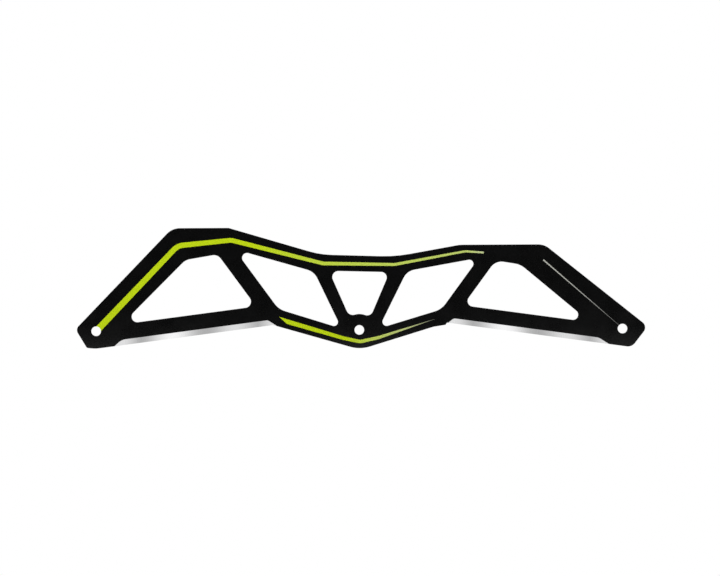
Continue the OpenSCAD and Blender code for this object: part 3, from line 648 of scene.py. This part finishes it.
def film_finish(name, stops):
    """Printed film that fades along the frame through (place, colour) stops."""
    material, tree, shader, place = new_finish(name, Specular_IOR_Level=0.05)
    first, last = stops[0][0], stops[-1][0]
    dots = noise(tree, place, scale=2600.0, detail=2.0)
    blur = spread(tree, dots, low=-0.02, high=0.02)
    along = spread(tree, axis_of(tree, place, "X"), 0.0, 1.0, from_low=first, from_high=last)
    ramp = add(tree, "ShaderNodeValToRGB", {"Fac": math_of(tree, "ADD", blur, along)})
    marks = ramp.color_ramp.elements
    for x, _ in stops[1:-1]:
        marks.new((x - first) / (last - first))
    for mark, (_, value) in zip(marks, stops):
        mark.color = rgba(value)
    connect(
        tree, shader,
        tint=ramp.outputs["Color"],
        roughness=spread(tree, dots, low=0.42, high=0.52),
        normal=bump(tree, dots, distance=0.000006, strength=0.4),
    )
    return material


def finish_named(name, maker, *values):
    """A finish that is made once and shared."""
    return bpy.data.materials.get(name) or maker(name, *values)


def dress(node, material):
    """Gives a CAD node a finish."""
    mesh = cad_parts[node].data
    mesh.materials.clear()
    mesh.materials.append(material)


# Operators


class SKATE_OT_side_plates(bpy.types.Operator):
    """Round the side plates' edges and give their lower bevels a bare metal finish"""

    bl_idname = "skate.side_plates"
    bl_label = "Side Plates"

    def execute(self, context):
        edges, finish = context.scene.skate_edges, context.scene.skate_finish
        materials = [
            finish_named("Plate black", black_finish, finish.plate_black, BLASTED_GRAIN),
            finish_named("Bare metal", bare_finish, finish.bare_metal),
            finish_named("Rubbed plate edge", edge_finish, finish.plate_black, finish.worn_edge),
        ]
        heads = [
            ((low + high) / 2, COUNTERSINK_REACH * (high.x - low.x))
            for _, low, high in screw_boxes()
        ]
        bare, rubbed = 1, 2
        for side in SIDES:
            node = f"{side}_side_plate"
            bm = welded(node)
            for face in bm.faces:
                face.material_index = bare if self.is_bevel(face, heads) else 0
            round_corners(bm, edges.plate, edges.steps, rubbed)
            piece = new_piece(f"{side}_plate", bm, materials, rounded=rubbed)
            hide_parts(node)
        return {"FINISHED"}

    @staticmethod
    def is_bevel(face, heads):
        """Whether a face leans and lies away from the screws' heads, given as (place, reach)."""
        low, high = BEVEL_LEAN
        at = face.calc_center_median()
        by_head = any(math.hypot(at.x - h.x, at.z - h.z) < reach for h, reach in heads)
        return low < abs(face.normal.y) < high and not by_head


class SKATE_OT_boot_decks(bpy.types.Operator):
    """Round the boot decks' edges and give them a milled black finish"""

    bl_idname = "skate.boot_decks"
    bl_label = "Boot Decks"

    def execute(self, context):
        edges, finish = context.scene.skate_edges, context.scene.skate_finish
        materials = [
            finish_named("Milled black", black_finish, finish.deck_black, MILLED_GRAIN),
            finish_named("Rubbed deck edge", edge_finish, finish.deck_black, finish.worn_edge),
        ]
        for end in ENDS:
            node = f"{end}_boot_deck"
            piece = rounded_piece(f"{end}_deck", node, materials, edges.deck, edges.steps)
            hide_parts(node)
        return {"FINISHED"}


class SKATE_OT_tie_tubes(bpy.types.Operator):
    """Round the tie tubes' ends and give them a drawn black finish"""

    bl_idname = "skate.tie_tubes"
    bl_label = "Tie Tubes"

    def execute(self, context):
        edges, finish = context.scene.skate_edges, context.scene.skate_finish
        materials = [
            finish_named("Drawn black", black_finish, finish.deck_black, DRAWN_GRAIN),
            finish_named("Rubbed deck edge", edge_finish, finish.deck_black, finish.worn_edge),
        ]
        for end in ENDS:
            node = f"{end}_tie_tube"
            piece = rounded_piece(f"{end}_tie", node, materials, edges.tie, edges.steps)
            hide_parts(node)
        return {"FINISHED"}


class SKATE_OT_cross_screws(bpy.types.Operator):
    """Make the countersunk screws with their hexagon sockets and threads"""

    bl_idname = "skate.cross_screws"
    bl_label = "Cross Screws"

    def execute(self, context):
        edges, sizes = context.scene.skate_edges, context.scene.skate_threads
        base = context.scene.skate_finish.screw_steel
        steel = finish_named("Plated steel", turned_finish, base, *PLATED_STEEL)
        for number, (node, low, high) in enumerate(screw_boxes(), start=1):
            bm = self.screw(low, high, edges.head, sizes)
            turn = Matrix.Rotation(number * SCREW_TURN, 3, "Y")
            bmesh.ops.rotate(bm, verts=bm.verts, cent=(0, 0, 0), matrix=turn)
            middle = (low + high) / 2
            piece = new_piece(f"{node}_{number}", bm, [steel], (middle.x, 0.0, middle.z))
            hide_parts(node)
        return {"FINISHED"}

    @staticmethod
    def screw(low, high, chamfer, sizes):
        """A screw's mesh around the Y axis, from its lowest and highest corners in the frame."""
        tip, top = low.y, high.y
        head = (high.x - low.x) / 2
        shank = SHANK_SHARE * head
        root = shank - sizes.screw_depth
        thread_end = tip + sizes.screw_run
        bottom = top - sizes.key_depth
        socket = hexagon(sizes.key)
        bm = bmesh.new()
        turned(bm, [
            (TIP_SHARE * root, tip),
            (root, tip + TIP_LENGTH),
            (root, thread_end),
            (shank, thread_end + sizes.screw_depth),
            (shank, top - HEAD_SHARE * head),
            (head, top - chamfer),
            (head - chamfer, top),
            (MOUTH_SHARE * sizes.key, top),
            (socket, top - MOUTH_DEPTH),
            (socket, bottom),
            (POINT_SHARE * sizes.key, bottom - POINT_DEPTH),
        ], SCREW_STEPS, closed=False)
        pitch = sizes.screw_pitch
        run = sizes.screw_run - pitch
        thread(bm, root - SCREW_SINK, shank, pitch, tip + pitch, run, SCREW_STEPS // 2)
        return bm


class SKATE_OT_dowels(bpy.types.Operator):
    """Give the dowels a ground steel finish"""

    bl_idname = "skate.dowels"
    bl_label = "Dowels"

    def execute(self, context):
        base = context.scene.skate_finish.dowel_steel
        steel = finish_named("Ground steel", turned_finish, base, *GROUND_STEEL)
        for end in ENDS:
            dress(f"{end}_deck_dowels", steel)
        return {"FINISHED"}


class SKATE_OT_axle_seats(bpy.types.Operator):
    """Make the threaded axle seats of the right plate and the plain ones of the left plate"""

    bl_idname = "skate.axle_seats"
    bl_label = "Axle Seats"

    def execute(self, context):
        chamfer, sizes = context.scene.skate_edges.seat, context.scene.skate_threads
        base = context.scene.skate_finish.seat_steel
        steel = finish_named("Turned steel", turned_finish, base, *TURNED_STEEL)
        for axle in AXLES:
            for kind in ("insert", "bush"):
                node = f"{axle}_axle_{kind}"
                low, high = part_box(node)
                bm = bmesh.new()
                if kind == "insert":
                    self.insert(bm, low, high, chamfer, sizes)
                else:
                    self.bush(bm, low, high, chamfer)
                middle = (low + high) / 2
                piece = new_piece(f"{axle}_{kind}", bm, [steel], (middle.x, 0.0, middle.z))
                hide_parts(node)
        return {"FINISHED"}

    @staticmethod
    def insert(bm, low, high, chamfer, sizes):
        """A threaded seat around the Y axis, with its flange on the inside of the plate."""
        flange = (high.x - low.x) / 2
        body = INSERT_SHARE * flange
        bore = INSERT_BORE * flange
        cut = bore + sizes.axle_depth
        neck = low.y + INSERT_DEPTH
        turned(bm, [
            (cut + chamfer / 2, low.y),
            (body - chamfer, low.y),
            (body, low.y + chamfer),
            (body, neck),
            (flange - chamfer / 2, neck),
            (flange, neck + chamfer / 2),
            (flange, high.y - chamfer),
            (flange - chamfer, high.y),
            (cut + chamfer, high.y),
            (cut, high.y - chamfer),
            (cut, low.y + chamfer / 2),
        ], SEAT_STEPS, closed=True)
        pitch = sizes.axle_pitch
        lead = AXLE_LEAD * pitch
        run = high.y - low.y - 2 * lead
        thread(bm, cut + AXLE_SINK, bore, pitch, low.y + lead, run, SEAT_STEPS)

    @staticmethod
    def bush(bm, low, high, chamfer):
        """A plain seat around the Y axis, with its flange on the inside of the plate."""
        flange = (high.x - low.x) / 2
        body = BUSH_SHARE * flange
        bore = BUSH_BORE * flange
        neck = high.y - BUSH_DEPTH
        turned(bm, [
            (bore, low.y + chamfer),
            (bore + chamfer, low.y),
            (flange - chamfer, low.y),
            (flange, low.y + chamfer),
            (flange, neck - chamfer / 2),
            (flange - chamfer / 2, neck),
            (body, neck),
            (body, high.y - chamfer),
            (body - chamfer, high.y),
            (bore + chamfer, high.y),
            (bore, high.y - chamfer),
        ], SEAT_STEPS, closed=True)


class SKATE_OT_stripes(bpy.types.Operator):
    """Give the stripe films their lime print"""

    bl_idname = "skate.stripes"
    bl_label = "Stripes"

    def execute(self, context):
        finish = context.scene.skate_finish
        for kind, fades in FADES.items():
            stops = [(x, getattr(finish, named)) for x, named in fades]
            film = finish_named(f"Printed {kind} film", film_finish, stops)
            for side in SIDES:
                dress(f"{side}_{kind}_stripe", film)
        return {"FINISHED"}


class SKATE_OT_stage(bpy.types.Operator):
    """Make the floor, the light and the camera"""

    bl_idname = "skate.stage"
    bl_label = "Stage"

    def execute(self, context):
        scene, stage = context.scene, context.scene.skate_stage
        self.floor(scene, stage)
        self.sky(scene, stage)
        self.lamps(scene, stage)
        self.camera(scene, stage)
        scene.view_settings.view_transform = "Standard"
        return {"FINISHED"}

    @staticmethod
    def seen(tree):
        """1 for rays from the camera or through glass, and 1 for rays from gloss."""
        rays = add(tree, "ShaderNodeLightPath").outputs
        shown = math_of(tree, "MAXIMUM", rays["Is Camera Ray"], rays["Is Transmission Ray"])
        return shown, rays["Is Glossy Ray"]

    def floor(self, scene, stage):
        """A floor that is white to the camera, bright in reflections and clear from below."""
        bm = bmesh.new()
        corners = ((-1, -1), (1, -1), (1, 1), (-1, 1))
        bm.faces.new([bm.verts.new((x * FLOOR_HALF, y * FLOOR_HALF, 0.0)) for x, y in corners])
        mesh = bpy.data.meshes.new("floor")
        bm.to_mesh(mesh)
        bm.free()
        floor = bpy.data.objects.new("floor", mesh)
        floor.location.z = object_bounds()[0].z - FLOOR_GAP
        scene.collection.objects.link(floor)
        floor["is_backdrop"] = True
        material = bpy.data.materials.new("Studio floor")
        material.use_nodes = True
        tree = material.node_tree
        tree.nodes.clear()
        place = add(tree, "ShaderNodeTexCoord").outputs["Object"]
        speckle = noise(tree, place, scale=40.0, detail=4.0)
        tone = blend(tree, speckle, rgba(stage.floor, 0.99), rgba(stage.floor, 1.01))
        matt = add(tree, "ShaderNodeBsdfDiffuse", {"Color": tone}).outputs[0]
        white = add(tree, "ShaderNodeEmission", {"Color": WHITE, "Strength": 1.0}).outputs[0]
        shown, mirrored = self.seen(tree)
        lit = mixed(tree, math_of(tree, "MULTIPLY", shown, stage.floor_glow), matt, white)
        away = math_of(tree, "ABSOLUTE", axis_of(tree, place, "Y"))
        faded = TABLE_FADE * stage.table
        sheen = spread(tree, away, 1.0, stage.sky_side, from_low=stage.table, from_high=faded)
        table = add(tree, "ShaderNodeEmission", {"Color": WHITE, "Strength": sheen}).outputs[0]
        top = mixed(tree, mirrored, lit, table)
        under = add(tree, "ShaderNodeNewGeometry").outputs["Backfacing"]
        clear = add(tree, "ShaderNodeBsdfTransparent").outputs[0]
        both = mixed(tree, under, top, clear)
        add(tree, "ShaderNodeOutputMaterial", {"Surface": both})
        mesh.materials.append(material)

    def sky(self, scene, stage):
        """White surroundings for the camera, even light, and a darker studio in reflections."""
        world = bpy.data.worlds.new("Studio")
        world.use_nodes = True
        tree = world.node_tree
        tree.nodes.clear()
        way = add(tree, "ShaderNodeTexCoord").outputs["Generated"]
        up = axis_of(tree, way, "Z")
        rise = spread(tree, up, stage.sky_side, stage.sky_top, *SKY_RISE)
        white, even, studio = [
            add(tree, "ShaderNodeBackground", {"Color": WHITE, "Strength": strength}).outputs[0]
            for strength in (1.0, stage.sky, rise)
        ]
        shown, mirrored = self.seen(tree)
        unseen = mixed(tree, mirrored, even, studio)
        both = mixed(tree, shown, unseen, white)
        add(tree, "ShaderNodeOutputWorld", {"Surface": both})
        scene.world = world

    @staticmethod
    def lamps(scene, stage):
        """Soft round lamps that face the frame."""
        for name, (place, size) in LAMPS.items():
            light = bpy.data.lights.new(name, "AREA")
            light.shape = "DISK"
            light.size = size
            light.energy = getattr(stage, f"{name}_power")
            lamp = bpy.data.objects.new(name, light)
            lamp.location = place
            lamp.rotation_euler = (LAMP_TARGET - lamp.location).to_track_quat("-Z", "Y").to_euler()
            scene.collection.objects.link(lamp)

    @staticmethod
    def camera(scene, stage):
        """A camera square to the right plate, tilted as the picture is."""
        lens = bpy.data.cameras.new("camera")
        lens.type = "ORTHO"
        lens.ortho_scale = stage.view_width
        lens.clip_start, lens.clip_end = VIEW_CLIP
        camera = bpy.data.objects.new("camera", lens)
        camera.location = (stage.view_x, -VIEW_DISTANCE, stage.view_z)
        camera.rotation_euler = (math.pi / 2, stage.view_tilt, 0.0)
        scene.collection.objects.link(camera)
        scene.camera = camera


OPERATORS = (
    SKATE_OT_stage, SKATE_OT_side_plates, SKATE_OT_boot_decks, SKATE_OT_tie_tubes,
    SKATE_OT_cross_screws, SKATE_OT_dowels, SKATE_OT_axle_seats, SKATE_OT_stripes,
)
SETTINGS = {
    "skate_finish": FinishSettings,
    "skate_edges": EdgeSettings,
    "skate_threads": ThreadSettings,
    "skate_stage": StageSettings,
}


class SKATE_PT_panel(bpy.types.Panel):
    """Steps of the skate frame and its settings"""

    bl_idname = "SKATE_PT_panel"
    bl_label = "Skate Frame"
    bl_space_type = "VIEW_3D"
    bl_region_type = "UI"
    bl_category = "Skate Frame"

    def draw(self, context):
        for step in OPERATORS:
            self.layout.operator(step.bl_idname)
        for name in SETTINGS:
            box = self.layout.box()
            group = getattr(context.scene, name)
            for key in group.bl_rna.properties.keys():
                if key not in ("rna_type", "name"):
                    box.prop(group, key)


CLASSES = (*SETTINGS.values(), *OPERATORS, SKATE_PT_panel)


def register():
    """Adds the classes, and the settings to every scene."""
    for cls in CLASSES:
        bpy.utils.register_class(cls)
    for name, group in SETTINGS.items():
        setattr(bpy.types.Scene, name, PointerProperty(type=group))


def unregister():
    """Takes the settings and the classes out again."""
    for name in SETTINGS:
        delattr(bpy.types.Scene, name)
    for cls in reversed(CLASSES):
        bpy.utils.unregister_class(cls)


def main():
    """Runs every step."""
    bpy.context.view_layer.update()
    register()
    for step in OPERATORS:
        group, name = step.bl_idname.split(".")
        getattr(getattr(bpy.ops, group), name)()


if __name__ == "__main__":
    main()
